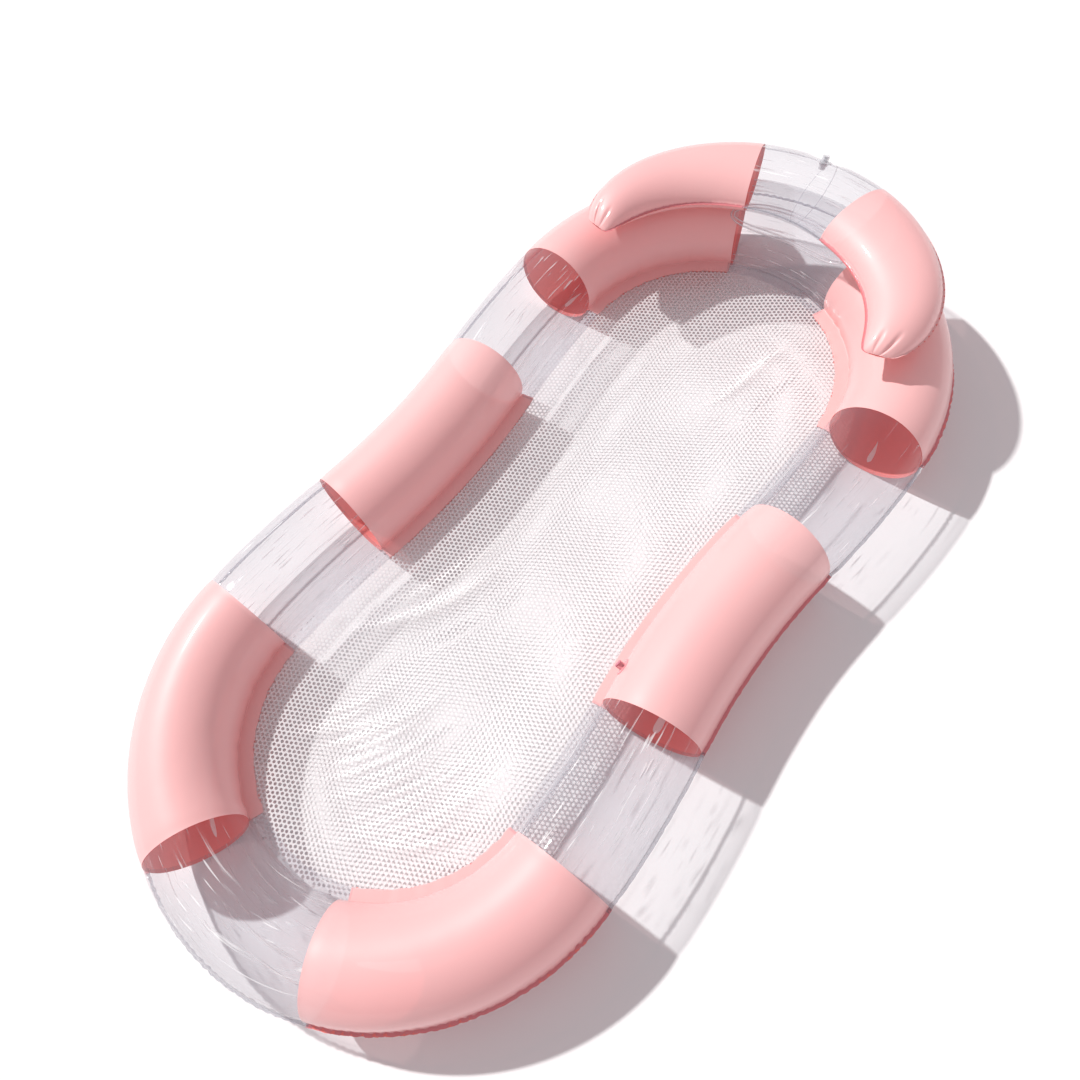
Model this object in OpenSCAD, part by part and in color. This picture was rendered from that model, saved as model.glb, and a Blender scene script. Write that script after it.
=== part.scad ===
// Inflatable pool float: a long ring of pink and clear panels, a net floor
// and a curved pillow on the head end. Millimetres, +Z up, +X toward the pillow.

/* [Ring outline] */
// Distance between the centres of the two end bends
end_spacing = 920; // [700:5:1200]
// Radius of the tube's middle line round each end
end_radius = 360; // [280:5:450]
// How far each long side is drawn in at its middle
waist_depth = 33; // [10:1:60]

/* [Tube] */
// Outside radius of the inflated tube
tube_r = 88; // [60:1:120]
// Thickness of every film, heavier than the real film so that it stays a solid
film = 1; // [0.6:0.1:1.6]
// Width of the weld lip round the outside of the ring
lip = 6; // [3:0.5:12]
// Turn of the inner weld below mid-height, in degrees round the tube
inner_drop = 20; // [0:1:40]
// Width of the weld band that holds the floor
band = 27; // [15:1:45]
// Thickness of the net floor
net = 0.6; // [0.3:0.1:1.5]

/* [Panels] */
// Angle of the clear end panels to the left of the middle
end_clear_left = 21; // [10:1:35]
// Angle of the clear end panels to the right of the middle
end_clear_right = 26; // [10:1:35]
// Length of the pink panel in the middle of each side
side_len = 406; // [200:2:600]
// Length of the clear film tucked under the next pink panel
lap = 6; // [3:0.5:12]

/* [Pillow] */
// Radius of the pillow's middle line, measured from the head bend's centre
pillow_radius = 340; // [260:5:400]
// Half width of the pillow in the middle
pillow_a = 80; // [60:1:120]
// Half thickness of the pillow in the middle
pillow_b = 45; // [30:1:70]
// Half angle of the clear middle panel of the pillow
pillow_clear_a = 18; // [8:1:30]
// Half angle where the pillow's tips end
pillow_tip_a = 78; // [60:1:86]
// Half width of the pillow at its tips
tip_a = 14; // [8:1:30]
// Width of the weld lip round the pillow
pillow_lip = 4; // [2:0.5:8]
// Gap between the resting pillow and the ring
rest_gap = 0.5; // [0.3:0.1:2]
// Half angle of the weld patch under the pillow
patch_a = 24; // [8:1:40]

/* [Valves] */
// Radius of the welded valve flange
flange_r = 15; // [12:0.5:20]
// Outer radius of the sliding valve stem
stem_r = 6.5; // [5:0.25:9]
// Radial play of the stem in its sleeve
stem_play = 0.04; // [0.02:0.01:0.1]
// Radius of the bore that takes the pump nozzle
nozzle_r = 4; // [2.5:0.25:5]
// Height of the stem's rim above the film
rim_h = 9; // [7:0.5:14]
// Length of the stem inside the film
stem_in = 13; // [9:0.5:20]
// Distance along the side from its middle to the ring's valve
valve_back = 145; // [60:5:180]
// Height angle of the ring's valve above the level of the tube's middle
valve_up = 20; // [0:1:45]
// Lean of the pillow's valve away from upright
pillow_valve_lean = 30; // [0:1:35]

/* [Hidden] */
$fn = 96;
half = end_spacing / 2;
// The outline: end bend to 90 degrees, a slight bend inward, then the waist's hollow curve
waist_a = 2 * atan(waist_depth / half);
waist_radius = side_len / 2 / (waist_a * PI / 180);
link_radius = half / sin(waist_a) - waist_radius;
link_y = end_radius - link_radius;
waist_y = end_radius - waist_depth + waist_radius;
zc = tube_r;
uc = tube_r * cos(inner_drop);
vc = tube_r * sin(inner_drop);
big = 4 * tube_r;
lap_play = 0.06;
lens_r = (pillow_a * pillow_a + pillow_b * pillow_b) / (2 * pillow_b);
pillow_lift = sqrt(pow(lens_r + tube_r + film + rest_gap, 2)
                   - pow(end_radius - pillow_radius, 2)) - lens_r;
zp = zc + pillow_lift + pillow_b;
sleeve_in = stem_r + stem_play;
sleeve_r = sleeve_in + 2;
flange_t = 1.2;
mouth_r = nozzle_r + 0.9;
mouth_depth = 3.6;
hinge_x = stem_r + 4;
cap_gap = 0.3;
lid_t = 1.2;
stations = 16;
arc_n = 16;
pink = [0.96, 0.68, 0.70];
clear = [0.86, 0.88, 0.92, 0.45];
white = [0.95, 0.95, 0.96];

// ---- tube section: x is outward from the ring's middle line, y is up ----

module hoop2d(r_in, r_out) {
  difference() {
    circle(r = r_out);
    circle(r = r_in);
  }
}

module above2d() {
  polygon([[-big, -vc], [0, -vc], [0, 0], [big, 0], [big, big], [-big, big]]);
}

module below2d() {
  polygon([[-big, -vc - net], [0, -vc - net], [0, 0], [big, 0], [big, -big], [-big, -big]]);
}

module upper2d() {
  intersection() {
    hoop2d(tube_r - film, tube_r);
    above2d();
  }
  translate([tube_r - film / 2, 0]) square([lip + film / 2, film]);
  translate([-uc - band, -vc]) square([band + film / 2, film]);
}

module lower2d() {
  intersection() {
    hoop2d(tube_r - film, tube_r);
    below2d();
  }
  translate([tube_r - film / 2, -film]) square([lip + film / 2, film]);
  translate([-uc - band, -vc - net - film]) square([band + film / 2, film]);
}

// Strip inside the tube that a lap joint is made of
module lap2d(kind, play) {
  intersection() {
    hoop2d(tube_r - 2 * film, tube_r - film - play);
    if (kind == "upper") translate([0, 2 * film]) above2d();
    if (kind == "lower") translate([0, -2 * film]) below2d();
  }
}

module section2d(kind, part) {
  if (part == "root") lap2d(kind, 0);
  if (part == "tail") lap2d(kind, lap_play);
  if (part == "film" && kind == "upper") upper2d();
  if (part == "film" && kind == "lower") lower2d();
}

// ---- pieces of the ring, made at the head and on the left, then mirrored ----

module head_sweep(a0, a1, kind, part = "film") {
  translate([half, 0, zc]) rotate_extrude(angle = a1 - a0, start = a0)
    translate([end_radius, 0]) section2d(kind, part);
}

// Sweep along the slight bend between the head bend and the left waist
module link_sweep(a0, a1, kind, part = "film") {
  translate([half, link_y, zc]) rotate_extrude(angle = a1 - a0, start = 90 + a0, $fn = 1440)
    translate([link_radius, 0]) section2d(kind, part);
}

// Sweep along the left waist; the angles count from the middle toward the head
module waist_sweep(b0, b1, kind, part = "film") {
  translate([0, waist_y, zc]) rotate_extrude(angle = b1 - b0, start = b0 - 90, $fn = 1440)
    translate([waist_radius, 0]) mirror([1, 0]) section2d(kind, part);
}

function bend_deg(len) = len / end_radius * 180 / PI;
function link_deg(len) = len / link_radius * 180 / PI;

module head_clear(kind) {
  d = bend_deg(lap);
  head_sweep(-end_clear_right, end_clear_left, kind);
  for (e = [-end_clear_right, end_clear_left]) {
    head_sweep(e - d, e + d, kind, "tail");
    head_sweep(e - (e > 0 ? d : 0), e + (e > 0 ? 0 : d), kind, "root");
  }
}

module head_left_pink(kind, from = end_clear_left) {
  head_sweep(from, 90, kind);
}

module front_left_clear(kind) {
  d = link_deg(lap);
  link_sweep(0, waist_a, kind);
  link_sweep(-d, d, kind, "tail");
  link_sweep(0, d, kind, "root");
  link_sweep(waist_a - d, waist_a + d, kind, "tail");
  link_sweep(waist_a - d, waist_a, kind, "root");
}

module left_side_pink(kind) {
  waist_sweep(-waist_a, waist_a, kind);
}

module to_right() { mirror([0, 1, 0]) children(); }
module to_foot() { mirror([1, 0, 0]) children(); }

module head_clear_upper() { color(clear) head_clear("upper"); }
module head_clear_lower() { color(clear) head_clear("lower"); }
module head_left_pink_upper() { color(pink) head_left_pink("upper"); }
module head_left_pink_lower() { color(pink) head_left_pink("lower"); }
module head_right_pink_upper() {
  color(pink) to_right() head_left_pink("upper", end_clear_right);
}
module head_right_pink_lower() {
  color(pink) to_right() head_left_pink("lower", end_clear_right);
}
module front_left_clear_upper() { color(clear) front_left_clear("upper"); }
module front_left_clear_lower() { color(clear) front_left_clear("lower"); }
module front_right_clear_upper() { color(clear) to_right() front_left_clear("upper"); }
module front_right_clear_lower() { color(clear) to_right() front_left_clear("lower"); }
module left_side_pink_upper() { color(pink) left_side_pink("upper"); }
module left_side_pink_lower() { color(pink) left_side_pink("lower"); }
module right_side_pink_upper() {
  color(pink) difference() {
    to_right() left_side_pink("upper");
    at_ring_valve() translate([0, 0, -2 * film]) cylinder(h = 6 * film, r = sleeve_r);
  }
}
module right_side_pink_lower() { color(pink) to_right() left_side_pink("lower"); }
module rear_left_clear_upper() { color(clear) to_foot() front_left_clear("upper"); }
module rear_left_clear_lower() { color(clear) to_foot() front_left_clear("lower"); }
module rear_right_clear_upper() {
  color(clear) to_foot() to_right() front_left_clear("upper");
}
module rear_right_clear_lower() {
  color(clear) to_foot() to_right() front_left_clear("lower");
}
module foot_left_pink_upper() { color(pink) to_foot() head_left_pink("upper"); }
module foot_left_pink_lower() { color(pink) to_foot() head_left_pink("lower"); }
module foot_right_pink_upper() {
  color(pink) to_foot() to_right() head_left_pink("upper", end_clear_right);
}
module foot_right_pink_lower() {
  color(pink) to_foot() to_right() head_left_pink("lower", end_clear_right);
}
module foot_clear_upper() { color(clear) to_foot() head_clear("upper"); }
module foot_clear_lower() { color(clear) to_foot() head_clear("lower"); }

// ---- net floor, held between the two weld bands ----

floor_in = uc - film / 2;
function arc_pts(c, r, a0, a1, n, skip = 0) =
  [for (i = [skip : n]) c + r * [cos(a0 + (a1 - a0) * i / n), sin(a0 + (a1 - a0) * i / n)]];
floor_quarter = concat(
  arc_pts([half, 0], end_radius - floor_in, 0, 90, 36),
  arc_pts([half, link_y], link_radius - floor_in, 90, 90 + waist_a, 8, 1),
  arc_pts([0, waist_y], waist_radius + floor_in, -90 + waist_a, -90, 8, 1));
floor_n = len(floor_quarter);
floor_outline = concat(
  floor_quarter,
  [for (i = [floor_n - 2 : -1 : 0]) [-floor_quarter[i][0], floor_quarter[i][1]]],
  [for (i = [1 : floor_n - 1]) [-floor_quarter[i][0], -floor_quarter[i][1]]],
  [for (i = [floor_n - 2 : -1 : 1]) [floor_quarter[i][0], -floor_quarter[i][1]]]);

module net_floor() {
  color(white) translate([0, 0, zc - vc - net]) linear_extrude(net) polygon(floor_outline);
}

// ---- weld patch on the ring under the pillow ----

module pillow_weld_patch() {
  color(clear) translate([half, 0, zc]) rotate_extrude(angle = 2 * patch_a, start = -patch_a)
    translate([end_radius, 0]) intersection() {
      hoop2d(tube_r, tube_r + film);
      polygon([[0, 0], [-0.1 * big, big], [-big, big], [-big, 0.85 * big]]);
    }
}

// ---- pillow: two sheets, each in three panels ----

module pillow_mid2d() {
  intersection() {
    translate([0, pillow_b - lens_r]) hoop2d(lens_r - film, lens_r);
    translate([-big, 0]) square([2 * big, big]);
  }
  translate([pillow_a - 2 * film, 0]) square([pillow_lip + 2 * film, film]);
  translate([-pillow_a - pillow_lip, 0]) square([pillow_lip + 2 * film, film]);
}

module pillow_mid() {
  translate([half, 0, zp]) rotate_extrude(angle = 2 * pillow_clear_a, start = -pillow_clear_a)
    translate([pillow_radius, 0]) pillow_mid2d();
}

function along(j) = j / stations;
function half_w(t) = tip_a + (pillow_a * (1 - 0.45 * pow(t, 1.6)) - tip_a)
  * sqrt(max(0, 1 - pow(t, 8)));
function half_h(t) = 1.05 * film + (half_w(t) * (pillow_b / pillow_a + 0.22 * t * t) - 1.05 * film)
  * sqrt(max(0, 1 - pow(t, 9)));
function mid_r(t) = pillow_radius - 40 * pow(t, 4);
function turn(t) = pillow_clear_a + (pillow_tip_a - pillow_clear_a) * t;
function bow(a, b) = (a * a + b * b) / (2 * b);

// One row of points across the sheet at height offset lo, with film removed inside
function arc_row(a, b, r, base, lo) =
  let (m = acos(min(1, (bow(a, b) - b + base) / r)))
  concat([[-a - pillow_lip, lo]],
         [for (k = [0 : arc_n]) let (q = -m + 2 * m * k / arc_n)
           [r * sin(q), r * cos(q) - bow(a, b) + b]],
         [[a + pillow_lip, lo]]);
function lift(row, t) = [for (p = row)
  [(mid_r(t) + p[0]) * cos(turn(t)), (mid_r(t) + p[0]) * sin(turn(t)), p[1]]];
function outer_row(t) = lift(arc_row(half_w(t), half_h(t), bow(half_w(t), half_h(t)), film, film), t);
function inner_row(t) = lift(arc_row(half_w(t), half_h(t), bow(half_w(t), half_h(t)) - film, 0, 0), t);
function quad(a, b, c, d) = [[a, b, c], [a, c, d]];

module pillow_end() {
  m = arc_n + 3;
  pts = [for (j = [0 : stations]) each concat(outer_row(along(j)), inner_row(along(j)))];
  function o(j, k) = j * 2 * m + k;
  function i(j, k) = j * 2 * m + m + k;
  faces = concat(
    [for (j = [0 : stations - 1], k = [0 : m - 2])
      each quad(o(j, k), o(j + 1, k), o(j + 1, k + 1), o(j, k + 1))],
    [for (j = [0 : stations - 1], k = [0 : m - 2])
      each quad(i(j, k), i(j, k + 1), i(j + 1, k + 1), i(j + 1, k))],
    [for (j = [0 : stations - 1]) each quad(o(j, 0), i(j, 0), i(j + 1, 0), o(j + 1, 0))],
    [for (j = [0 : stations - 1])
      each quad(o(j, m - 1), o(j + 1, m - 1), i(j + 1, m - 1), i(j, m - 1))],
    [for (k = [0 : m - 2]) each quad(i(0, k), o(0, k), o(0, k + 1), i(0, k + 1))],
    [for (k = [0 : m - 2])
      each quad(i(stations, k), i(stations, k + 1), o(stations, k + 1), o(stations, k))]);
  translate([half, 0, zp]) polyhedron(points = pts, faces = faces);
}

module flip_pillow() { translate([0, 0, zp]) mirror([0, 0, 1]) translate([0, 0, -zp]) children(); }

module pillow_clear_upper() {
  color(clear) difference() {
    pillow_mid();
    at_pillow_valve() translate([0, 0, -2 * film]) cylinder(h = 6 * film, r = sleeve_r);
  }
}
module pillow_clear_lower() { color(clear) flip_pillow() pillow_mid(); }
module pillow_left_pink_upper() { color(pink) pillow_end(); }
module pillow_left_pink_lower() { color(pink) flip_pillow() pillow_end(); }
module pillow_right_pink_upper() { color(pink) to_right() pillow_end(); }
module pillow_right_pink_lower() { color(pink) to_right() flip_pillow() pillow_end(); }

// ---- valves: made upright with the film's outer face at z = 0 ----

module at_ring_valve() {
  translate([0, -waist_y, zc]) rotate([0, 0, 90 + asin(valve_back / waist_radius)])
    translate([waist_radius, 0, 0]) rotate([0, 90 - valve_up, 0])
      translate([0, 0, tube_r]) children();
}

module at_pillow_valve() {
  translate([half + pillow_radius, 0, zp + pillow_b - lens_r])
    rotate([0, pillow_valve_lean, 0]) translate([0, 0, lens_r]) children();
}

module sleeve() {
  difference() {
    translate([0, 0, -6]) cylinder(h = 6 + flange_t, r = sleeve_r);
    translate([0, 0, -7]) cylinder(h = 9 + flange_t, r = sleeve_in);
  }
}

module valve_stem() {
  difference() {
    union() {
      translate([0, 0, -stem_in]) cylinder(h = stem_in + rim_h, r = stem_r);
      translate([0, -2.5, rim_h - 1.6]) cube([hinge_x - 0.9, 5, 1.6]);
    }
    translate([0, 0, -stem_in - 1]) cylinder(h = stem_in + rim_h + 2, r = nozzle_r);
    translate([0, 0, rim_h - mouth_depth]) cylinder(h = mouth_depth + 1, r = mouth_r);
  }
}

module valve_cap() {
  translate([0, 0, rim_h + cap_gap]) {
    cylinder(h = lid_t, r = stem_r);
    translate([0, -2, 0]) cube([hinge_x + 0.4, 4, lid_t]);
    translate([0, 0, 0]) linear_extrude(lid_t)
      polygon([[-stem_r + 2, -4.5], [-stem_r - 7, -1.5], [-stem_r - 7, 1.5], [-stem_r + 2, 4.5]]);
    translate([0, 0, -3]) cylinder(h = 3.2, r1 = nozzle_r - 0.1, r2 = nozzle_r + 0.5);
  }
}

module valve_flap() {
  translate([0, 0, -stem_in - 1.0]) {
    cylinder(h = 0.7, r = nozzle_r + 1.4);
    translate([0, -1.5, 0]) cube([stem_r - 0.3, 3, 0.7]);
  }
}

module ring_valve_base() {
  color(white) at_ring_valve() difference() {
    union() {
      sleeve();
      valve_collar(tube_r);
    }
    translate([0, 0, -7]) cylinder(h = 9 + flange_t, r = sleeve_in);
  }
}

// Round flange bent to the film's own curve
module valve_collar(bend_r) {
  intersection() {
    translate([0, 0, -4]) cylinder(h = 8, r = flange_r);
    translate([0, 0, -bend_r]) rotate([90, 0, 0]) difference() {
      cylinder(h = 4 * flange_r, r = bend_r + flange_t, center = true);
      cylinder(h = 5 * flange_r, r = bend_r, center = true);
    }
  }
}

module ring_valve_stem() { color(white) at_ring_valve() valve_stem(); }
module ring_valve_flap() { color(white) at_ring_valve() valve_flap(); }
module ring_valve_cap() { color(pink) at_ring_valve() valve_cap(); }

module pillow_valve_base() {
  color(white) at_pillow_valve() difference() {
    union() {
      sleeve();
      valve_collar(lens_r);
    }
    translate([0, 0, -7]) cylinder(h = 9 + flange_t, r = sleeve_in);
  }
}

module pillow_valve_stem() { color(white) at_pillow_valve() valve_stem(); }
module pillow_valve_flap() { color(white) at_pillow_valve() valve_flap(); }
module pillow_valve_cap() { color(clear) at_pillow_valve() valve_cap(); }

head_clear_upper();
head_clear_lower();
head_left_pink_upper();
head_left_pink_lower();
head_right_pink_upper();
head_right_pink_lower();
front_left_clear_upper();
front_left_clear_lower();
front_right_clear_upper();
front_right_clear_lower();
left_side_pink_upper();
left_side_pink_lower();
right_side_pink_upper();
right_side_pink_lower();
rear_left_clear_upper();
rear_left_clear_lower();
rear_right_clear_upper();
rear_right_clear_lower();
foot_left_pink_upper();
foot_left_pink_lower();
foot_right_pink_upper();
foot_right_pink_lower();
foot_clear_upper();
foot_clear_lower();
net_floor();
pillow_weld_patch();
pillow_clear_upper();
pillow_clear_lower();
pillow_left_pink_upper();
pillow_left_pink_lower();
pillow_right_pink_upper();
pillow_right_pink_lower();
ring_valve_base();
ring_valve_stem();
ring_valve_flap();
ring_valve_cap();
pillow_valve_base();
pillow_valve_stem();
pillow_valve_flap();
pillow_valve_cap();
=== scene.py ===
import math

import bpy
import numpy as np
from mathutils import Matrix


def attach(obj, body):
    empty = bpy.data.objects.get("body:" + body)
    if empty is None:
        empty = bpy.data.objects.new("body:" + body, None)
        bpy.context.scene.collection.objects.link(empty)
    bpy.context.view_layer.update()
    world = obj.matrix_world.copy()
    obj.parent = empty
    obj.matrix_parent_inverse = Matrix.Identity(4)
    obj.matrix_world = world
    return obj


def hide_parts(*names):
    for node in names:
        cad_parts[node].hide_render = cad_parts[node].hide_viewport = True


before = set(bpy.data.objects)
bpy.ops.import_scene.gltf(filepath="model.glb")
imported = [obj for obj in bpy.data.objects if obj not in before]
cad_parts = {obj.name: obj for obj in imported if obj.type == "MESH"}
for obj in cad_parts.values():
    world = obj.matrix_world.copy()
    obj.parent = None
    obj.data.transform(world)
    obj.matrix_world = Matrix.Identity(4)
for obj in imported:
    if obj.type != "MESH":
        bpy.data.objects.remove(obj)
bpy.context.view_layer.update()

# ---- sizes in metres, the same as the frame's ----

# ring: end bends, a waist on each side, and the tube
HALF = 0.46
END_R = 0.36
WAIST_DEPTH = 0.033
SIDE_LEN = 0.406
TUBE_R = 0.088
LIP = 0.006
BAND = 0.027
DROP = math.radians(20)
NET_Z = TUBE_R - TUBE_R * math.sin(DROP)
CREASE_IN = TUBE_R * math.cos(DROP)
LAP = 0.006
CLEAR_LEFT = math.radians(21)
CLEAR_RIGHT = math.radians(26)

# the middle line's arcs: bend, link and waist
WAIST_A = 2 * math.atan(WAIST_DEPTH / HALF)
WAIST_R = SIDE_LEN / 2 / WAIST_A
LINK_R = HALF / math.sin(WAIST_A) - WAIST_R
LINK_Y = END_R - LINK_R
WAIST_Y = END_R - WAIST_DEPTH + WAIST_R
L_BEND = END_R * math.pi / 2
L_LINK = LINK_R * WAIST_A
QUARTER = L_BEND + L_LINK + SIDE_LEN / 2
LOOP = 2 * QUARTER

# where the panels join, along the middle line from the head's tip
S_LEFT = END_R * CLEAR_LEFT
S_RIGHT = END_R * CLEAR_RIGHT
S_END = L_BEND
S_LINK = L_BEND + L_LINK

# pillow, its weld patch and its valve
PILLOW_R = 0.34
PILLOW_A = 0.08
PILLOW_B = 0.045
PILLOW_CLEAR_A = math.radians(18)
PILLOW_TIP_A = math.radians(78)
TIP_A = 0.014
PILLOW_LIP = 0.004
VALVE_LEAN = math.radians(30)
PATCH_A = math.radians(24)
PATCH_MIDDLE = math.radians(127)
PATCH_HALF = math.radians(19)
LENS_R = (PILLOW_A ** 2 + PILLOW_B ** 2) / (2 * PILLOW_B)
PILLOW_Z = (TUBE_R + math.sqrt((LENS_R + TUBE_R + 0.0015) ** 2 - (END_R - PILLOW_R) ** 2)
            - LENS_R + PILLOW_B)


# ---- small numeric helpers ----

def smooth(x, lo, hi):
    """0 below lo, 1 above hi, with soft ends between them."""
    t = np.clip((x - lo) / (hi - lo), 0.0, 1.0)
    return t * t * (3 - 2 * t)


def wander(x, every, seed):
    """Smooth random numbers from -1 to 1 along x. A new one comes after each length `every`."""
    count = 4096
    knots = np.random.default_rng(seed).uniform(-1, 1, count)
    u = np.asarray(x) / every + 1000.0
    i = np.floor(u).astype(int)
    f = u - i
    f = f * f * (3 - 2 * f)
    return knots[i % count] * (1 - f) + knots[(i + 1) % count] * f


def quarter_line(s):
    """Point and outward direction on the ring's middle line, s from the head's tip to mid-side."""
    s = np.asarray(s, float)
    a = s / END_R
    b = (s - L_BEND) / LINK_R
    g = WAIST_A - (s - L_BEND - L_LINK) / WAIST_R
    on_bend = s <= L_BEND
    on_link = (~on_bend) & (s <= L_BEND + L_LINK)
    x = np.where(on_bend, HALF + END_R * np.cos(a),
                 np.where(on_link, HALF - LINK_R * np.sin(b), WAIST_R * np.sin(g)))
    y = np.where(on_bend, END_R * np.sin(a),
                 np.where(on_link, LINK_Y + LINK_R * np.cos(b), WAIST_Y - WAIST_R * np.cos(g)))
    nx = np.where(on_bend, np.cos(a), -np.sin(np.where(on_link, b, g)))
    ny = np.where(on_bend, np.sin(a), np.cos(np.where(on_link, b, g)))
    return x, y, nx, ny


def left_line(s):
    """The same down the whole left side: s from 0 at the head's tip to LOOP at the foot's."""
    s = np.asarray(s, float)
    far = s > QUARTER
    x, y, nx, ny = quarter_line(np.where(far, LOOP - s, s))
    return np.where(far, -x, x), y, np.where(far, -nx, nx), ny


def ring_line(s):
    """The same with s also below 0 or past LOOP, where it runs on to the right side."""
    x, y, nx, ny = left_line(np.abs(s))
    y = np.where(s < 0, -y, y)
    ny = np.where(s < 0, -ny, ny)
    over = s > LOOP
    if over.any():
        far_x, far_y, far_nx, far_ny = left_line(2 * LOOP - s)
        x = np.where(over, far_x, x)
        y = np.where(over, -far_y, y)
        nx = np.where(over, far_nx, nx)
        ny = np.where(over, -far_ny, ny)
    return x, y, nx, ny


# ---- mesh building ----

def link_mesh(name, mesh, material):
    """Shades a mesh smooth and puts it in the scene as an object."""
    mesh.polygons.foreach_set("use_smooth", np.ones(len(mesh.polygons), dtype=bool))
    mesh.update()
    obj = bpy.data.objects.new(name, mesh)
    bpy.context.scene.collection.objects.link(obj)
    mesh.materials.append(material)
    return obj


def sheet_object(name, rows, uv_rows, flip, material):
    """A sheet from a grid of points rows[i][j], with its own UV map."""
    n, m = rows.shape[:2]
    i, j = np.meshgrid(np.arange(n - 1), np.arange(m - 1), indexing="ij")
    a = (i * m + j).ravel()
    quads = np.stack([a, a + m, a + m + 1, a + 1], axis=1)
    if flip:
        quads = quads[:, ::-1]
    mesh = bpy.data.meshes.new(name)
    mesh.from_pydata(rows.reshape(-1, 3).tolist(), [], quads.tolist())
    uv = mesh.uv_layers.new(name="along_and_round")
    loops = np.empty(len(mesh.loops), dtype=np.int64)
    mesh.loops.foreach_get("vertex_index", loops)
    uv.data.foreach_set("uv", uv_rows.reshape(-1, 2)[loops].astype(np.float32).ravel())
    return link_mesh(name, mesh, material)


def mirror_y(rows):
    out = rows.copy()
    out[:, :, 1] *= -1
    return out


def length_round(u, v):
    """Metres round a section from its first point."""
    return np.concatenate([[0], np.cumsum(np.hypot(np.diff(u), np.diff(v)))])


def seam_map(s, u, v):
    """The UV map: metres along the seam, and metres round the first section."""
    return np.stack(np.broadcast_arrays(s[:, None], length_round(u[0], v[0])[None, :]), axis=2)


def stands_for(obj, body, node):
    """The piece rides on a body, in place of its plain CAD node."""
    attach(obj, body)
    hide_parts(node)


# ---- material helpers ----

def new_material(name):
    mat = bpy.data.materials.new(name)
    mat.use_nodes = True
    nt = mat.node_tree
    nt.nodes.clear()
    out = nt.nodes.new("ShaderNodeOutputMaterial")
    return mat, nt, out


def add_node(nt, kind, **inputs):
    """A shader node with some inputs set. An underscore stands for the space in an input's name."""
    node = nt.nodes.new("ShaderNode" + kind)
    for name, value in inputs.items():
        node.inputs[name.replace("_", " ")].default_value = value
    return node


def object_noise(nt, scale, detail, rough=0.5):
    place = add_node(nt, "TexCoord")
    noise = add_node(nt, "TexNoise", Scale=scale, Detail=detail, Roughness=rough)
    nt.links.new(place.outputs["Object"], noise.inputs["Vector"])
    return noise.outputs["Fac"]


def uv_parts(nt):
    """The sheet's own map: on film, metres along the seam and metres round from the first lip's edge."""
    uv = add_node(nt, "UVMap")
    uv.uv_map = "along_and_round"
    parts = add_node(nt, "SeparateXYZ")
    nt.links.new(uv.outputs["UV"], parts.inputs["Vector"])
    return uv.outputs["UV"], parts.outputs["X"], parts.outputs["Y"]


def seam_noise(nt, uv, per_metre, turn=0.0, **inputs):
    """Noise on the sheet's own map, as fine along and round the seam as per_metre says."""
    place = add_node(nt, "Mapping", Rotation=(0.0, 0.0, turn), Scale=(*per_metre, 1.0))
    nt.links.new(uv, place.inputs["Vector"])
    noise = add_node(nt, "TexNoise", Scale=1.0, **inputs)
    nt.links.new(place.outputs["Vector"], noise.inputs["Vector"])
    return noise.outputs["Fac"]


def math_node(nt, kind, a, b):
    node = add_node(nt, "Math")
    node.operation = kind
    for k, v in enumerate((a, b)):
        if isinstance(v, (int, float)):
            node.inputs[k].default_value = v
        else:
            nt.links.new(v, node.inputs[k])
    return node.outputs[0]


def add_share(nt, total, value, share):
    """The total with a share of a second value added."""
    return math_node(nt, "ADD", total, math_node(nt, "MULTIPLY", value, share))


def mix_colour(nt, fac, a, b):
    node = add_node(nt, "Mix")
    node.data_type = "RGBA"
    nt.links.new(fac, node.inputs["Factor"])
    for k, v in (("A", a), ("B", b)):
        socket = [s for s in node.inputs if s.name == k and s.type == "RGBA"][0]
        if isinstance(v, tuple):
            socket.default_value = (*v, 1)
        else:
            nt.links.new(v, socket)
    return [s for s in node.outputs if s.type == "RGBA"][0]


def soft_step(nt, value, lo, hi):
    """0 at lo and 1 at hi, with soft ends. It falls where lo is above hi."""
    node = add_node(nt, "MapRange", From_Min=lo, From_Max=hi)
    node.interpolation_type = "SMOOTHSTEP"
    nt.links.new(value, node.inputs["Value"])
    return node.outputs["Result"]


def stretch_to(nt, value, low, high):
    """0 to 1 made low to high."""
    node = add_node(nt, "MapRange", To_Min=low, To_Max=high)
    nt.links.new(value, node.inputs["Value"])
    return node.outputs["Result"]


def two_tone_grain(nt, scale, low, high):
    """A fine speckle: its height, and its colour between two tones."""
    grain = object_noise(nt, scale, 2.0)
    ramp = add_node(nt, "ValToRGB")
    ramp.color_ramp.elements[0].color = (*low, 1)
    ramp.color_ramp.elements[1].color = (*high, 1)
    nt.links.new(grain, ramp.inputs["Fac"])
    return grain, ramp.outputs["Color"]


def add_bump(nt, body, height, strength, distance):
    bump = add_node(nt, "Bump", Strength=strength, Distance=distance)
    nt.links.new(height, bump.inputs["Height"])
    nt.links.new(bump.outputs["Normal"], body.inputs["Normal"])


def see_through(nt, out, body, cover, tint=(1.0, 1.0, 1.0)):
    """Ends a material that lets light past, by the share that its own shader covers."""
    through = add_node(nt, "BsdfTransparent", Color=(*tint, 1))
    mix = add_node(nt, "MixShader")
    if isinstance(cover, float):
        mix.inputs["Fac"].default_value = cover
    else:
        nt.links.new(cover, mix.inputs["Fac"])
    nt.links.new(through.outputs["BSDF"], mix.inputs[1])
    nt.links.new(body.outputs["BSDF"], mix.inputs[2])
    nt.links.new(mix.outputs["Shader"], out.inputs["Surface"])


# ---- materials ----

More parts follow.
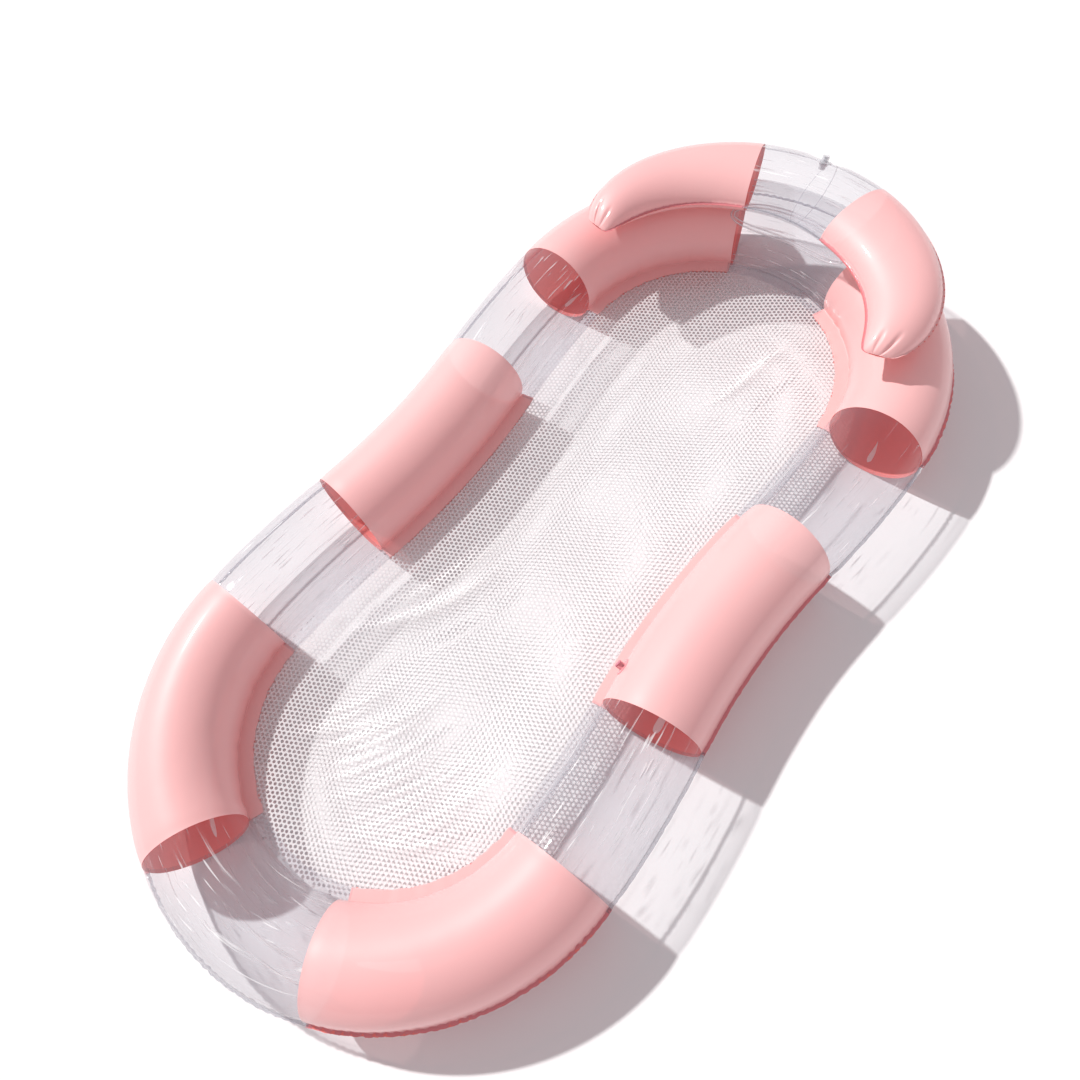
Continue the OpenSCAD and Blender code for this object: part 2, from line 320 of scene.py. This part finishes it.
def pink_film_material(name, lit, shade, inside, weld):
    """Glossy film, mixed at random between a lit and a shaded pink. Its inside is painted a deeper pink
    that stands in for light filtered through the film, and the weld where its map starts is darker: the
    double film's own deeper colour plus painted shade of its puckers.
    """
    mat, nt, out = new_material(name)
    skin = add_node(nt, "BsdfPrincipled", IOR=1.46, Coat_Roughness=0.05)
    tint = object_noise(nt, scale=2.4, detail=2.0)
    colour = mix_colour(nt, soft_step(nt, tint, 0.3, 0.7), shade, lit)
    # the weld lip is darker: partly the double film's own deeper pink, partly painted shade of the
    # puckered lip, broken into dashes by noise
    _, _, from_weld = uv_parts(nt)
    pucker_shade_noise = object_noise(nt, scale=130.0, detail=2.0)
    reach = add_share(nt, from_weld, pucker_shade_noise, 0.005)
    lip_and_shade_mask = soft_step(nt, reach, LIP + 0.0035, LIP + 0.0012)
    colour = mix_colour(nt, lip_and_shade_mask, colour, weld)
    # painted: the inside face gets a deeper, redder pink that stands in for light reaching it through the
    # pink film
    back = add_node(nt, "NewGeometry").outputs["Backfacing"]
    colour = mix_colour(nt, back, colour, inside)
    nt.links.new(colour, skin.inputs["Base Color"])
    ripple = object_noise(nt, scale=7.0, detail=3.0)
    add_bump(nt, skin, ripple, strength=0.14, distance=0.01)
    gloss = add_share(nt, stretch_to(nt, ripple, 0.40, 0.52), back, 0.3)
    nt.links.new(gloss, skin.inputs["Roughness"])
    front = math_node(nt, "SUBTRACT", 1.0, back)
    nt.links.new(math_node(nt, "MULTIPLY", front, 0.65), skin.inputs["Coat Weight"])
    see_through(nt, out, skin, cover=0.87, tint=(1.0, 0.56, 0.54))
    return mat


def clear_film_material(name, low, high, tint, seam=None, ribbed=False):
    """Film that lets most light through, with its given colour laid on more at a slant as painted shade
    for darker reflections, and painted highlight streaks along its length.
    """
    mat, nt, out = new_material(name)
    film = add_node(nt, "BsdfPrincipled", Roughness=0.08, IOR=1.5, Coat_Weight=1.0, Coat_Roughness=0.04)
    uv, along, from_weld = uv_parts(nt)
    # painted highlight: the streak and wrinkle lines stand in for creases of film catching light
    streak_highlight = seam_noise(nt, uv, (3.0, 110.0), Detail=3.0, Roughness=0.6, Distortion=0.6)
    dash = seam_noise(nt, uv, (13.0, 190.0), turn=0.05, Detail=1.0)
    patchy = object_noise(nt, scale=9.0, detail=1.0)
    wrinkle_highlight = math_node(nt, "MULTIPLY", soft_step(nt, dash, 0.62, 0.70), soft_step(nt, patchy, 0.46, 0.60))
    lines = math_node(nt, "MAXIMUM", wrinkle_highlight, soft_step(nt, streak_highlight, 0.60, 0.70))
    # painted highlight: on these lines the film turns near white and less clear
    nt.links.new(mix_colour(nt, lines, tint, (0.97, 0.97, 0.98)), film.inputs["Base Color"])
    ripple = object_noise(nt, scale=16.0, detail=4.0, rough=0.6)
    height = add_share(nt, math_node(nt, "MULTIPLY", dash, 0.30), ripple, 0.10)
    add_bump(nt, film, height, strength=0.45, distance=0.004)
    # painted shade: more of the grey film colour shows at a slant, standing in for darker reflections
    slant = add_node(nt, "LayerWeight", Blend=0.35)
    cover = stretch_to(nt, slant.outputs["Facing"], low, high)
    cover = add_share(nt, cover, lines, 0.5)
    weld = soft_step(nt, from_weld, LIP + 0.0012, LIP + 0.0002)
    cover = add_share(nt, cover, weld, 0.3)
    if seam is not None:
        off = math_node(nt, "ABSOLUTE", math_node(nt, "SUBTRACT", along, seam), 0.0)
        cover = add_share(nt, cover, soft_step(nt, off, 0.0011, 0.0006), 0.35)
    if ribbed:
        cover = add_share(nt, cover, along, 0.75)
    cover.node.use_clamp = True
    see_through(nt, out, film, cover, tint=(0.98, 0.98, 0.99))
    return mat


def net_material(name):
    """Glossy white net, with a painted highlight that makes it whiter and less clear along the tops of its
    folds.
    """
    mat, nt, out = new_material(name)
    cord = add_node(nt, "BsdfPrincipled", Roughness=0.3, Coat_Weight=1.0, Coat_Roughness=0.2)
    grain, colour = two_tone_grain(nt, 300.0, (0.76, 0.75, 0.77), (0.87, 0.86, 0.88))
    crest_highlight = add_node(nt, "Attribute")
    crest_highlight.attribute_name = "crest_highlight"
    # painted highlight: the cords turn white and less clear on fold tops, standing in for glossy folds
    # catching the light
    colour = mix_colour(nt, crest_highlight.outputs["Fac"], colour, (1.0, 1.0, 1.0))
    nt.links.new(colour, cord.inputs["Base Color"])
    add_bump(nt, cord, grain, strength=0.3, distance=0.0008)
    see_through(nt, out, cord, stretch_to(nt, crest_highlight.outputs["Fac"], 0.76, 1.0))
    return mat


def valve_material(name, colour, rough, cover=1.0):
    """Soft moulded plastic with a fine grain, solid or partly clear."""
    mat, nt, out = new_material(name)
    body = add_node(nt, "BsdfPrincipled", Roughness=rough)
    darker = tuple(c * 0.94 for c in colour)
    grain, speckled = two_tone_grain(nt, 240.0, darker, colour)
    nt.links.new(speckled, body.inputs["Base Color"])
    add_bump(nt, body, grain, strength=0.15, distance=0.0004)
    if cover < 1:
        see_through(nt, out, body, cover)
    else:
        nt.links.new(body.outputs["BSDF"], out.inputs["Surface"])
    return mat


LIT_PINK = (0.985, 0.575, 0.57)
SHADE_PINK = (0.97, 0.545, 0.545)
# painted: the deeper pink of the film's inside stands in for light filtered through the film
INSIDE_FILTERED_LIGHT_PINK = (0.92, 0.26, 0.24)
# the weld lip's colour: the double film's own deeper pink plus painted shade of its puckers
WELD_AND_SHADE_PINK = (0.74, 0.25, 0.28)
# painted shade: the film's grey, laid on more at a slant, stands in for darker reflections
SLANT_SHADE_GREY = (0.40, 0.40, 0.45)
PATCH_GREY = (0.86, 0.86, 0.90)
PINK = pink_film_material("pink_pvc_film", LIT_PINK, SHADE_PINK, INSIDE_FILTERED_LIGHT_PINK, WELD_AND_SHADE_PINK)
CLEAR = clear_film_material("clear_pvc_film", 0.07, 0.42, SLANT_SHADE_GREY)
CLEAR_PATCH = clear_film_material("clear_weld_patch", 0.16, 0.7, PATCH_GREY, ribbed=True)
CLEAR_PILLOW = clear_film_material("clear_pillow_film", 0.06, 0.40, SLANT_SHADE_GREY, seam=-0.012)
NET = net_material("white_net")
SOFT_PINK = valve_material("soft_pink_valve", (0.80, 0.33, 0.36), 0.35)
SOFT_CLEAR = valve_material("soft_clear_valve", (0.80, 0.81, 0.85), 0.22, cover=0.42)
CAP_PINK = valve_material("dark_pink_cap", (0.55, 0.12, 0.19), 0.35)


# ---- ring panels ----

POINT_GAP = 0.0035
ROUND_POINTS = 56
PUCKER_GAP = 0.0125
PLEAT_GAP = 0.052
SKIN = 0.00025
CLEAR_UNDER_PINK = 0.0005
LIP_SHARES = (1.0, 0.66, 0.33)
BAND_SHARES = (0.06, 0.14, 0.35, 0.6, 0.8, 1.0)


def bend_share(s):
    """1 on an end bend and 0 on the straighter sides."""
    from_head = np.minimum(np.abs(s), np.abs(LOOP - s))
    return 1 - smooth(from_head, L_BEND - 0.05, L_BEND + 0.08)


def film_radius(s, joins, theta, is_clear, bent, phase, seed):
    """How far the blown film stands from the tube's middle line, at each point of the grid."""
    end = theta[-1]
    from_lip = np.abs(theta) * 180 / math.pi
    from_band = np.abs(theta - end) * 180 / math.pi
    r = np.full((len(s), len(theta)), TUBE_R)
    if is_clear:
        r -= CLEAR_UNDER_PINK
    # film drawn in a little at each weld between two panels
    near = np.minimum(np.abs(s - joins[0]), np.abs(s - joins[1]))
    r -= (0.0012 * np.exp(-(near / 0.014) ** 2))[:, None] * np.ones(len(theta))
    # the puckers at the outer weld
    pucker = (0.5 - 0.5 * np.cos(2 * math.pi * phase)) * (0.55 + 0.45 * wander(s, 0.017, seed + 1))
    depth = 0.0004 + 0.0022 * bent
    reach = 6 + 9 * (0.5 + 0.5 * wander(s, 0.02, seed + 2))
    r -= (depth * pucker)[:, None] * np.exp(-(from_lip[None, :] / reach[:, None]) ** 1.3)
    # pleats where the film gathers at the inner weld of each bend
    pleat = 0.5 + 0.5 * np.cos(2 * math.pi * (s / PLEAT_GAP + 0.5 * wander(s, 0.09, seed + 3)))
    pleat = pleat * (0.5 + 0.5 * wander(s, 0.06, seed + 4))
    depth = 0.0003 + 0.0030 * bent
    r -= (depth * pleat)[:, None] * np.exp(-(from_band / 22) ** 1.4)[None, :]
    # slow waviness of blown film
    swell = np.sin(np.linspace(0, math.pi, len(theta)))
    r += 0.0006 * wander(s, 0.11, seed + 5)[:, None] * swell[None, :]
    return r


def add_welds(u, v, s, kind, bent, phase, seed):
    """Closes the section on its two weld lines, with the lip outside and the net's band inside."""
    sign = 1 if kind == "upper" else -1
    skin = SKIN * sign
    lip_wave = 0.0009 * (0.25 + bent) * np.sin(2 * math.pi * phase)
    lip_u = np.stack([u[:, 0] + LIP * f for f in LIP_SHARES], axis=1)
    lip_u += (0.0006 * wander(s, 0.008, 77))[:, None] * np.array([1.0, 0.6, 0.2])[None, :]
    lip_v = np.stack([skin + lip_wave * f for f in LIP_SHARES], axis=1)
    v[:, 0] = skin
    band_u = np.stack([u[:, -1] - BAND * f for f in BAND_SHARES], axis=1)
    # one band lies on the net and the other under it
    level = -TUBE_R * math.sin(DROP) + (0.0007 if kind == "upper" else -0.0018)
    flutter = 0.0005 * wander(s, 0.02, seed + 6)
    band_v = np.stack([level + flutter * f * sign for f in (0, 0, 0.3, 0.6, 0.8, 1)], axis=1)
    v[:, -1] = level
    return np.concatenate([lip_u, u, band_u], axis=1), np.concatenate([lip_v, v, band_v], axis=1)


def panel_rows(s0, s1, kind, is_clear):
    """Grid of points of one film sheet of the ring, from s0 to s1 down the left side."""
    lap = LAP if is_clear else 0.0
    count = int(round((s1 - s0 + 2 * lap) / POINT_GAP)) + 1
    s = np.linspace(s0 - lap, s1 + lap, count)
    seed = 11 if kind == "upper" else 23
    bent = bend_share(s)
    phase = s / PUCKER_GAP + 0.35 * wander(s, 0.03, seed)
    end = math.pi + DROP if kind == "upper" else -math.pi + DROP
    theta = np.linspace(0, end, ROUND_POINTS)
    r = film_radius(s, (s0, s1), theta, is_clear, bent, phase, seed)
    u, v = add_welds(r * np.cos(theta)[None, :], r * np.sin(theta)[None, :], s, kind, bent, phase, seed)
    x, y, nx, ny = ring_line(s)
    rows = np.stack([x[:, None] + u * nx[:, None], y[:, None] + u * ny[:, None], TUBE_R + v], axis=2)
    return rows, seam_map(s, u, v)


def panel(name, s0, s1, is_clear, side):
    """The upper and the lower sheet of one panel of the ring."""
    for kind in ("upper", "lower"):
        rows, uv = panel_rows(s0, s1, kind, is_clear)
        if side == "right":
            rows = mirror_y(rows)
        flip = (kind == "lower") != (side == "right")
        node = name + "_" + kind
        obj = sheet_object(node + "_film", rows, uv, flip, CLEAR if is_clear else PINK)
        stands_for(obj, "ring", node)


def make_ring():
    panel("head_clear", -S_RIGHT, S_LEFT, True, "both")
    panel("foot_clear", LOOP - S_LEFT, LOOP + S_RIGHT, True, "both")
    for side, start in (("left", S_LEFT), ("right", S_RIGHT)):
        panel("head_" + side + "_pink", start, S_END, False, side)
        panel("front_" + side + "_clear", S_END, S_LINK, True, side)
        panel(side + "_side_pink", S_LINK, LOOP - S_LINK, False, side)
        panel("rear_" + side + "_clear", LOOP - S_LINK, LOOP - S_END, True, side)
        panel("foot_" + side + "_pink", LOOP - S_END, LOOP - start, False, side)


# ---- net floor: real six-sided holes ----

HOLE_GAP = 0.0084
CORD_SHARE = 0.36
HOLE_JITTER = 0.0004
CLOSED_EDGE = 0.004
FOLD_HEADING = 146
FOLD_GAP = 0.019
FOLDS = 15
FOOT_FOLDS_X = -0.53
FOOT_FOLDS_Y = -0.02


def inner_outline(inset, n=720):
    """The line round the net, this far inside the tube's inner crease."""
    s = np.linspace(0, LOOP, n)
    x, y, nx, ny = left_line(s)
    off = CREASE_IN + inset
    left = np.stack([x - off * nx, y - off * ny], axis=1)
    right = left[::-1][1:-1] * np.array([1, -1])
    return np.concatenate([left, right])


def edge_distance(points, outline):
    """How far inside the outline each point is, and the nearest point on the outline."""
    nearest = np.empty_like(points)
    dist = np.empty(len(points))
    a = outline
    ab = np.roll(outline, -1, axis=0) - a
    batch = 4000
    for lo in range(0, len(points), batch):
        p = points[lo:lo + batch]
        t = ((p[:, None, :] - a[None]) * ab[None]).sum(2) / (ab * ab).sum(1)[None]
        q = a[None] + np.clip(t, 0, 1)[:, :, None] * ab[None]
        d = np.hypot(*(q - p[:, None, :]).transpose(2, 0, 1))
        k = d.argmin(1)
        rows = np.arange(len(p))
        nearest[lo:lo + batch] = q[rows, k]
        side = ab[k][:, 0] * (p[:, 1] - a[k][:, 1]) - ab[k][:, 1] * (p[:, 0] - a[k][:, 0])
        dist[lo:lo + batch] = np.where(side > 0, d[rows, k], -d[rows, k])
    return dist, nearest


def fold_ridges():
    """Each fold: its middle, its heading, its length, its width and its height."""
    r = np.random.default_rng(21)
    ridges = []
    # side by side across the foot, each a little out of line with the next
    a = math.radians(FOLD_HEADING)
    for k in range(FOLDS):
        width = r.uniform(0.0034, 0.0062)
        aside = FOLD_GAP * (k - FOLDS // 2)
        slide = 0.045 * r.uniform(-1, 1)
        heading = FOLD_HEADING + 7 * r.uniform(-1, 1)
        length = r.uniform(0.05, 0.11)
        ridges.append((FOOT_FOLDS_X - aside * math.sin(a) + slide * math.cos(a),
                       FOOT_FOLDS_Y + aside * math.cos(a) + slide * math.sin(a),
                       heading, length, width, 0.9 * width))
    # a few by the rear left panel, and a few near the head
    for k in range(5):
        ridges.append((-0.27 + 0.028 * k, 0.13 - 0.022 * (k % 3), 152 + 4 * k, 0.10, 0.006, 0.0038))
    for k in range(4):
        ridges.append((0.545 - 0.034 * k, -0.085 + 0.004 * k, 152 + 3 * k, 0.055, 0.005, 0.0032))
    return ridges


def net_height(x, y, inside):
    """Height of the slack net, and how near each point is to the top of a fold (0 to 1), which the net's
    material paints as a highlight.
    """
    free = smooth(inside, 0.024, 0.07)
    crest_highlight = np.zeros_like(x)
    z = -0.013 * smooth(inside, 0.024, 0.19)
    for mid_x, mid_y, heading, length, width, height in fold_ridges():
        a = math.radians(heading)
        along = (x - mid_x) * math.cos(a) + (y - mid_y) * math.sin(a)
        across = -(x - mid_x) * math.sin(a) + (y - mid_y) * math.cos(a)
        across = across + 0.08 * along ** 2 / length
        slope = np.where(across < 0, width, 2.6 * width)
        z = z + free * height * np.exp(-(across / slope) ** 2 - np.abs(along / length) ** 3)
        from_crest = (across - 0.4 * width) / (0.55 * width)
        crest_highlight = np.maximum(crest_highlight, free * np.exp(-from_crest ** 2 - np.abs(1.3 * along / length) ** 3))
    ruffle = wander(x * 0.8 + y, 0.09, 8) * (0.5 + 0.5 * wander(x - y, 0.13, 9))
    return z + free * 0.0022 * ruffle, crest_highlight


def hole_centres(outline):
    """Rows of hole centres, every second row shifted by half a gap, and how far inside each is."""
    centres = []
    for j in range(-44, 45):
        x = np.arange(-93, 94) * HOLE_GAP + (0.5 * HOLE_GAP if j % 2 else 0.0)
        y = j * HOLE_GAP * math.sqrt(3) / 2
        centres.append(np.stack([x, np.full_like(x, y)], axis=1))
    centres = np.concatenate(centres)
    inside, _ = edge_distance(centres, outline)
    keep = inside > -0.6 * HOLE_GAP
    return centres[keep], inside[keep]


def net_cells(outline):
    """The net laid flat: its points, and four corners for each side of each hole."""
    centres, inside = hole_centres(outline)
    n = len(centres)
    corner = math.radians(30) + np.arange(6) * math.pi / 3
    cell_r = HOLE_GAP / math.sqrt(3)
    outer = centres[:, None, :] + cell_r * np.stack([np.cos(corner), np.sin(corner)], axis=1)[None]
    # each hole is a little uneven, and nearly closed along the weld
    r = np.random.default_rng(3)
    uneven = 1 + 0.10 * r.uniform(-1, 1, (n, 6))
    a = corner[None, :] + r.uniform(-0.12, 0.12, n)[:, None]
    hole_r = cell_r * np.where(inside < CLOSED_EDGE, 0.15, 1 - CORD_SHARE)[:, None] * uneven
    hole = np.stack([np.cos(a), np.sin(a)], axis=2) * hole_r[:, :, None]
    hole = hole + centres[:, None, :] + HOLE_JITTER * r.uniform(-1, 1, (n, 1, 2))
    # the outer corners are shared between cells, so they are merged by place
    key = np.round(outer.reshape(-1, 2) / 1e-5).astype(np.int64)
    _, first, back = np.unique(key, axis=0, return_index=True, return_inverse=True)
    points = np.concatenate([outer.reshape(-1, 2)[first], hole.reshape(-1, 2)])
    o = back.reshape(n, 6)
    h = len(first) + np.arange(n * 6).reshape(n, 6)
    turn = (np.arange(6) + 1) % 6
    return points, np.stack([o, o[:, turn], h[:, turn], h], axis=2).reshape(-1, 4)


def make_net():
    outline = inner_outline(0.004)
    points, quads = net_cells(outline)
    inside, nearest = edge_distance(points, outline)
    points = np.where((inside < 0)[:, None], nearest, points)
    rise, crest_highlight = net_height(points[:, 0], points[:, 1], np.maximum(inside, 0))
    mesh = bpy.data.meshes.new("net_floor_mesh")
    mesh.from_pydata(np.column_stack([points, NET_Z - 0.0006 + rise]).tolist(), [], quads.tolist())
    # the net's material paints a highlight from this
    mesh.attributes.new("crest_highlight", "FLOAT", "POINT").data.foreach_set("value", crest_highlight)
    obj = link_mesh("net_floor_net", mesh, NET)
    stands_for(obj, "ring", "net_floor")


# ---- pillow ----

PILLOW_PUCKER_GAP = 0.0115
PILLOW_LAP = 0.016
ACROSS_POINTS = 44


def lie_on_lens(u, v, phi):
    """Near the valve the film follows the frame's own round crown, just below its collar."""
    lens = np.sqrt(LENS_R ** 2 - np.clip(u, -PILLOW_A, PILLOW_A) ** 2) - LENS_R + PILLOW_B
    off = np.hypot(phi[:, None] * PILLOW_R, u - LENS_R * math.sin(VALVE_LEAN))
    return v + (lens - 0.0004 - v) * (1 - smooth(off, 0.019, 0.045))


def pillow_shape(phi, kind, seed):
    """Points of one pillow sheet for turns phi (radians from the head's axis, always positive)."""
    t = np.clip((phi - PILLOW_CLEAR_A) / (PILLOW_TIP_A - PILLOW_CLEAR_A), 0, 1)
    a = TIP_A + (PILLOW_A * (1 - 0.45 * t ** 1.6) - TIP_A) * np.sqrt(1 - t ** 8)
    b = 0.00105 + (a * (PILLOW_B / PILLOW_A + 0.22 * t * t) - 0.00105) * np.sqrt(1 - t ** 9)
    q = np.linspace(-1, 1, ACROSS_POINTS)
    # fuller than a lens close to its welds
    w = np.sign(q) * (1 - (1 - np.abs(q)) ** 1.25)
    h = (1 - np.abs(w) ** 2.1) ** 0.62
    u = a[:, None] * w[None, :]
    v = b[:, None] * h[None, :]
    if kind == "upper":
        v = lie_on_lens(u, v, phi)
    # the puckers along both welds
    s = phi * PILLOW_R
    seed = seed + (0 if kind == "upper" else 40)
    phase = s / PILLOW_PUCKER_GAP + 0.3 * wander(s, 0.03, seed)
    pucker = (0.5 - 0.5 * np.cos(2 * math.pi * phase)) * (0.6 + 0.4 * wander(s, 0.015, seed + 1))
    bent = smooth(t, 0.05, 0.5) * 0.8 + 0.2
    outer = np.exp(-((1 - w) / 0.07) ** 1.2)
    inner = np.exp(-((1 + w) / 0.10) ** 1.2)
    v *= 1 - 0.42 * (pucker * bent)[:, None] * outer[None, :]
    v *= 1 - 0.06 * pucker[:, None] * inner[None, :]
    # pleats that run out of each tip
    pleat = np.exp(-((w - 0.28) / 0.10) ** 2) + 0.7 * np.exp(-((w + 0.38) / 0.09) ** 2)
    v *= 1 - 0.40 * smooth(t, 0.86, 0.99)[:, None] * pleat[None, :]
    # the lip all round
    lip_u = np.stack([a + PILLOW_LIP, a + PILLOW_LIP * 0.5], axis=1)
    wave = 0.0006 * bent * np.sin(2 * math.pi * phase)
    lip_v = np.stack([wave, wave * 0.5], axis=1)
    u = np.concatenate([-lip_u, u, lip_u[:, ::-1]], axis=1)
    v = np.concatenate([lip_v, v, lip_v[:, ::-1]], axis=1) + 0.0002
    rad = (PILLOW_R - 0.04 * t ** 4)[:, None] + u
    z = PILLOW_Z + (v if kind == "upper" else -v)
    rows = np.stack([HALF + rad * np.cos(phi)[:, None], rad * np.sin(phi)[:, None], z], axis=2)
    return rows, seam_map(s, u, v)


def pillow_piece(rows, uv, node, flip, material):
    obj = sheet_object(node + "_film", rows, uv, flip, material)
    stands_for(obj, "pillow", node)


def make_pillow_middle(kind):
    """The clear sheet. It is shrunk a little in height, to lap inside the pink ones."""
    phi = np.linspace(-PILLOW_CLEAR_A - PILLOW_LAP, PILLOW_CLEAR_A + PILLOW_LAP, 70)
    rows, uv = pillow_shape(np.abs(phi), kind, 300)
    side = np.sign(phi)[:, None]
    uv[:, :, 0] *= side
    rows[:, :, 1] *= side
    rows[:, :, 2] = PILLOW_Z + (rows[:, :, 2] - PILLOW_Z) * 0.992
    pillow_piece(rows, uv, "pillow_clear_" + kind, kind == "upper", CLEAR_PILLOW)


def make_pillow():
    for kind in ("upper", "lower"):
        make_pillow_middle(kind)
        phi = np.linspace(PILLOW_CLEAR_A, PILLOW_TIP_A, 150)
        for side, seed in (("left", 410), ("right", 520)):
            rows, uv = pillow_shape(phi, kind, seed)
            if side == "right":
                rows = mirror_y(rows)
            flip = (kind == "upper") != (side == "right")
            pillow_piece(rows, uv, "pillow_" + side + "_pink_" + kind, flip, PINK)


# ---- weld patch between the ring's head and the pillow ----

PATCH_STAND = 0.0012
RIB_RISE = 0.0012
RIB_WIDTH = 0.0011
RIB_INSETS = (0.0022, 0.0090)


def make_patch():
    """A long oval laid on the tube, with a double raised outline."""
    along = np.linspace(-1, 1, 380)
    across = np.linspace(-1, 1, 90)
    half_width = np.sqrt(np.clip(1 - np.abs(along) ** 3.2, 0.0004, 1))
    theta = PATCH_MIDDLE + PATCH_HALF * across[None, :] * half_width[:, None]
    edge = np.minimum((1 - np.abs(across))[None, :] * half_width[:, None] * PATCH_HALF * TUBE_R,
                      (1 - np.abs(along))[:, None] * PATCH_A * 0.32)
    rib = sum(np.exp(-((edge - inset) / RIB_WIDTH) ** 2) for inset in RIB_INSETS)
    r = TUBE_R + PATCH_STAND + RIB_RISE * rib
    phi = (along * PATCH_A)[:, None]
    rad = END_R + r * np.cos(theta)
    rows = np.stack([HALF + rad * np.cos(phi), rad * np.sin(phi), TUBE_R + r * np.sin(theta)], axis=2)
    # this map holds how near a rib each point is, and a place clear of the outer weld
    uv = np.stack([np.clip(rib, 0, 1), np.full_like(rib, 0.1)], axis=2)
    obj = sheet_object("pillow_weld_oval", rows, uv, False, CLEAR_PATCH)
    stands_for(obj, "ring", "pillow_weld_patch")


# ---- valves: the frame's own pieces, with finer finishes ----

def finish_node(node, material):
    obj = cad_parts[node]
    for slot in obj.material_slots:
        slot.material = material
    if not obj.material_slots:
        obj.data.materials.append(material)


def finish_valves():
    for part in ("base", "stem", "flap"):
        finish_node("ring_valve_" + part, SOFT_PINK)
    finish_node("ring_valve_cap", CAP_PINK)
    for part in ("base", "stem", "flap", "cap"):
        finish_node("pillow_valve_" + part, SOFT_CLEAR)


# ---- floor, light and camera ----

FLOOR_SIZE = 80.0
TOWARDS_SUN = (-0.08, 0.96, 1.0)
CAMERA_PLACE = (-0.5108, -0.5278, 1.4358)
CAMERA_TURN = (25.32, 7.82, -50.97)
CAMERA_LENS = 28.21
CAMERA_SHIFT = 0.0319


def make_stage():
    bpy.ops.object.select_all(action="DESELECT")
    bpy.ops.mesh.primitive_plane_add(size=FLOOR_SIZE, location=(0, 0, 0))
    ground = bpy.context.object
    ground.name = "ground"
    mat, nt, out = new_material("pale_ground")
    paint = add_node(nt, "BsdfPrincipled", Base_Color=(0.86, 0.86, 0.87, 1), Roughness=0.9,
                     Specular_IOR_Level=0.1)
    nt.links.new(paint.outputs["BSDF"], out.inputs["Surface"])
    ground.data.materials.append(mat)


def make_lights():
    world = bpy.context.scene.world or bpy.data.worlds.new("studio")
    bpy.context.scene.world = world
    world.use_nodes = True
    back = world.node_tree.nodes["Background"]
    back.inputs["Color"].default_value = (1.0, 0.94, 0.975, 1)
    back.inputs["Strength"].default_value = 0.5
    key = bpy.data.lights.new("key", "SUN")
    key.energy = 3.35
    key.angle = math.radians(1.6)
    key.color = (1.0, 0.985, 0.96)
    lamp = bpy.data.objects.new("key", key)
    bpy.context.scene.collection.objects.link(lamp)
    x, y, z = TOWARDS_SUN
    lamp.rotation_euler = (math.atan2(math.hypot(x, y), z), 0, math.atan2(x, -y))


def make_camera():
    cam = bpy.data.cameras.new("camera")
    cam.sensor_width = 36.0
    cam.lens = CAMERA_LENS
    cam.shift_x = CAMERA_SHIFT
    cam.shift_y = CAMERA_SHIFT
    cam.clip_end = 50
    obj = bpy.data.objects.new("camera", cam)
    obj.location = CAMERA_PLACE
    obj.rotation_euler = [math.radians(a) for a in CAMERA_TURN]
    bpy.context.scene.collection.objects.link(obj)
    bpy.context.scene.camera = obj


make_ring()
make_net()
make_pillow()
make_patch()
finish_valves()
make_stage()
make_lights()
make_camera()
bpy.context.scene.view_settings.view_transform = "Standard"
